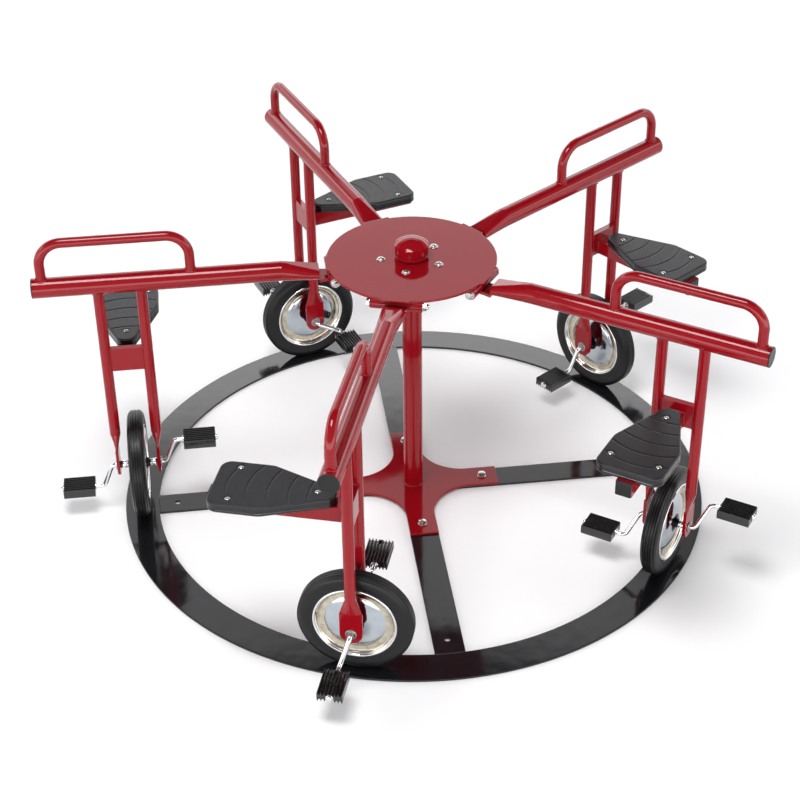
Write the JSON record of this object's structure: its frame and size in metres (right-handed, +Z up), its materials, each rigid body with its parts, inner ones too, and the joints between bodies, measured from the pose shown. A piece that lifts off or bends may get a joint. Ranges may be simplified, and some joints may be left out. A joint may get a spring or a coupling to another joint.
{
  "type": "merry go round",
  "caption": "Pedal carousel: a flat track ring with a central post, a turning hub with hinged arms, and on each arm a handle, a saddle and a pedalled wheel that rolls on the ring.",
  "frame": {"origin": "centre of the four ground anchor holes, on the ground under the post", "axes": "+Z up along the post; +X and +Y along two of the radial bars"},
  "size_m": [1.7943, 1.8238, 0.8407],
  "materials": {
    "red_powder_coat": "high gloss",
    "black_powder_coat": "high gloss",
    "zinc_fastener": "bright zinc plate",
    "turned_steel": "turned",
    "bearing_bronze": "machined",
    "chrome_steel": "polished",
    "black_plastic": "satin",
    "saddle_plastic": "fine leather grain",
    "tyre_rubber": "moulded",
    "pedal_rubber": "moulded"
  },
  "bodies": {
    "base": {"track_ring": "black_powder_coat", "radial_bars": "black_powder_coat", "base_cross": "red_powder_coat", "base_bolts": "zinc_fastener", "centre_post": "red_powder_coat", "spindle": "turned_steel", "spindle_fittings": "turned_steel"},
    "rotor": {"hub_sleeve": "red_powder_coat", "hub_bushes": "bearing_bronze", "hub_plate": "red_powder_coat", "hub_bolts": "zinc_fastener", "hub_cap": "red_powder_coat", "hinge_knuckles": "red_powder_coat", "hinge_bolts": "zinc_fastener"},
    "arm_1": {"arm_frame_1": "red_powder_coat", "end_plugs_1": "black_plastic", "saddle_1": "saddle_plastic", "station_fittings_1": "zinc_fastener"},
    "wheel_1": {"tyre_1": "tyre_rubber", "rim_1": "chrome_steel", "crank_1": "chrome_steel"},
    "outer_pedal_1": {"pedal_outer_1": "pedal_rubber"},
    "inner_pedal_1": {"pedal_inner_1": "pedal_rubber"},
    "arm_2": {"arm_frame_2": "red_powder_coat", "end_plugs_2": "black_plastic", "saddle_2": "saddle_plastic", "station_fittings_2": "zinc_fastener"},
    "wheel_2": {"tyre_2": "tyre_rubber", "rim_2": "chrome_steel", "crank_2": "chrome_steel"},
    "outer_pedal_2": {"pedal_outer_2": "pedal_rubber"},
    "inner_pedal_2": {"pedal_inner_2": "pedal_rubber"},
    "arm_3": {"arm_frame_3": "red_powder_coat", "end_plugs_3": "black_plastic", "saddle_3": "saddle_plastic", "station_fittings_3": "zinc_fastener"},
    "wheel_3": {"tyre_3": "tyre_rubber", "rim_3": "chrome_steel", "crank_3": "chrome_steel"},
    "outer_pedal_3": {"pedal_outer_3": "pedal_rubber"},
    "inner_pedal_3": {"pedal_inner_3": "pedal_rubber"},
    "arm_4": {"arm_frame_4": "red_powder_coat", "end_plugs_4": "black_plastic", "saddle_4": "saddle_plastic", "station_fittings_4": "zinc_fastener"},
    "wheel_4": {"tyre_4": "tyre_rubber", "rim_4": "chrome_steel", "crank_4": "chrome_steel"},
    "outer_pedal_4": {"pedal_outer_4": "pedal_rubber"},
    "inner_pedal_4": {"pedal_inner_4": "pedal_rubber"},
    "arm_5": {"arm_frame_5": "red_powder_coat", "end_plugs_5": "black_plastic", "saddle_5": "saddle_plastic", "station_fittings_5": "zinc_fastener"},
    "wheel_5": {"tyre_5": "tyre_rubber", "rim_5": "chrome_steel", "crank_5": "chrome_steel"},
    "outer_pedal_5": {"pedal_outer_5": "pedal_rubber"},
    "inner_pedal_5": {"pedal_inner_5": "pedal_rubber"}
  },
  "joints": [
    {"name": "rotor_spin", "type": "hinge", "parent": "base", "child": "rotor", "pos_m": [0, 0, 0.6], "axis": [0, 0, 1], "continuous": true},
    {"name": "arm_lift_1", "type": "hinge", "parent": "rotor", "child": "arm_1", "pos_m": [0.1618, 0.11756, 0.698], "axis": [0.5878, -0.809, 0], "range_deg": [0, 8]},
    {"name": "wheel_spin_1", "type": "hinge", "parent": "arm_1", "child": "wheel_1", "pos_m": [0.59544, 0.43261, 0.1483], "axis": [0.809, 0.5878, 0], "continuous": true},
    {"name": "outer_pedal_spin_1", "type": "hinge", "parent": "wheel_1", "child": "outer_pedal_1", "pos_m": [0.73394, 0.52269, 0.21778], "axis": [0.809, 0.5878, 0], "continuous": true},
    {"name": "inner_pedal_spin_1", "type": "hinge", "parent": "wheel_1", "child": "inner_pedal_1", "pos_m": [0.45693, 0.34253, 0.07882], "axis": [0.809, 0.5878, 0], "continuous": true},
    {"name": "arm_lift_2", "type": "hinge", "parent": "rotor", "child": "arm_2", "pos_m": [-0.0618, 0.19021, 0.698], "axis": [0.9511, 0.309, 0], "range_deg": [0, 8]},
    {"name": "wheel_spin_2", "type": "hinge", "parent": "arm_2", "child": "wheel_2", "pos_m": [-0.22744, 0.69998, 0.1483], "axis": [-0.309, 0.9511, 0], "continuous": true},
    {"name": "outer_pedal_spin_2", "type": "hinge", "parent": "wheel_2", "child": "outer_pedal_2", "pos_m": [-0.33971, 0.83699, 0.17565], "axis": [-0.309, 0.9511, 0], "continuous": true},
    {"name": "inner_pedal_spin_2", "type": "hinge", "parent": "wheel_2", "child": "inner_pedal_2", "pos_m": [-0.11517, 0.56297, 0.12095], "axis": [-0.309, 0.9511, 0], "continuous": true},
    {"name": "arm_lift_3", "type": "hinge", "parent": "rotor", "child": "arm_3", "pos_m": [-0.2, 0, 0.698], "axis": [0, 1, 0], "range_deg": [0, 8]},
    {"name": "wheel_spin_3", "type": "hinge", "parent": "arm_3", "child": "wheel_3", "pos_m": [-0.736, 0, 0.1483], "axis": [-1, 0, 0], "continuous": true},
    {"name": "outer_pedal_spin_3", "type": "hinge", "parent": "wheel_3", "child": "outer_pedal_3", "pos_m": [-0.901, 0.0061, 0.07857], "axis": [-1, 0, 0], "continuous": true},
    {"name": "inner_pedal_spin_3", "type": "hinge", "parent": "wheel_3", "child": "inner_pedal_3", "pos_m": [-0.571, -0.0061, 0.21803], "axis": [-1, 0, 0], "continuous": true},
    {"name": "arm_lift_4", "type": "hinge", "parent": "rotor", "child": "arm_4", "pos_m": [-0.0618, -0.19021, 0.698], "axis": [-0.9511, 0.309, 0], "range_deg": [0, 8]},
    {"name": "wheel_spin_4", "type": "hinge", "parent": "arm_4", "child": "wheel_4", "pos_m": [-0.22744, -0.69998, 0.1483], "axis": [-0.309, -0.9511, 0], "continuous": true},
    {"name": "outer_pedal_spin_4", "type": "hinge", "parent": "wheel_4", "child": "outer_pedal_4", "pos_m": [-0.29789, -0.85058, 0.08136], "axis": [-0.309, -0.9511, 0], "continuous": true},
    {"name": "inner_pedal_spin_4", "type": "hinge", "parent": "wheel_4", "child": "inner_pedal_4", "pos_m": [-0.15698, -0.54938, 0.21524], "axis": [-0.309, -0.9511, 0], "continuous": true},
    {"name": "arm_lift_5", "type": "hinge", "parent": "rotor", "child": "arm_5", "pos_m": [0.1618, -0.11756, 0.698], "axis": [-0.5878, -0.809, 0], "range_deg": [0, 8]},
    {"name": "wheel_spin_5", "type": "hinge", "parent": "arm_5", "child": "wheel_5", "pos_m": [0.59544, -0.43261, 0.1483], "axis": [0.809, -0.5878, 0], "continuous": true},
    {"name": "outer_pedal_spin_5", "type": "hinge", "parent": "wheel_5", "child": "outer_pedal_5", "pos_m": [0.75133, -0.49875, 0.20701], "axis": [0.809, -0.5878, 0], "continuous": true},
    {"name": "inner_pedal_spin_5", "type": "hinge", "parent": "wheel_5", "child": "inner_pedal_5", "pos_m": [0.43954, -0.36647, 0.08959], "axis": [0.809, -0.5878, 0], "continuous": true}
  ],
  "couplings": [
    {"joint": "wheel_spin_1", "follows": "rotor_spin", "ratio": -5.1831},
    {"joint": "wheel_spin_2", "follows": "rotor_spin", "ratio": -5.1831},
    {"joint": "wheel_spin_3", "follows": "rotor_spin", "ratio": -5.1831},
    {"joint": "wheel_spin_4", "follows": "rotor_spin", "ratio": -5.1831},
    {"joint": "wheel_spin_5", "follows": "rotor_spin", "ratio": -5.1831}
  ]
}
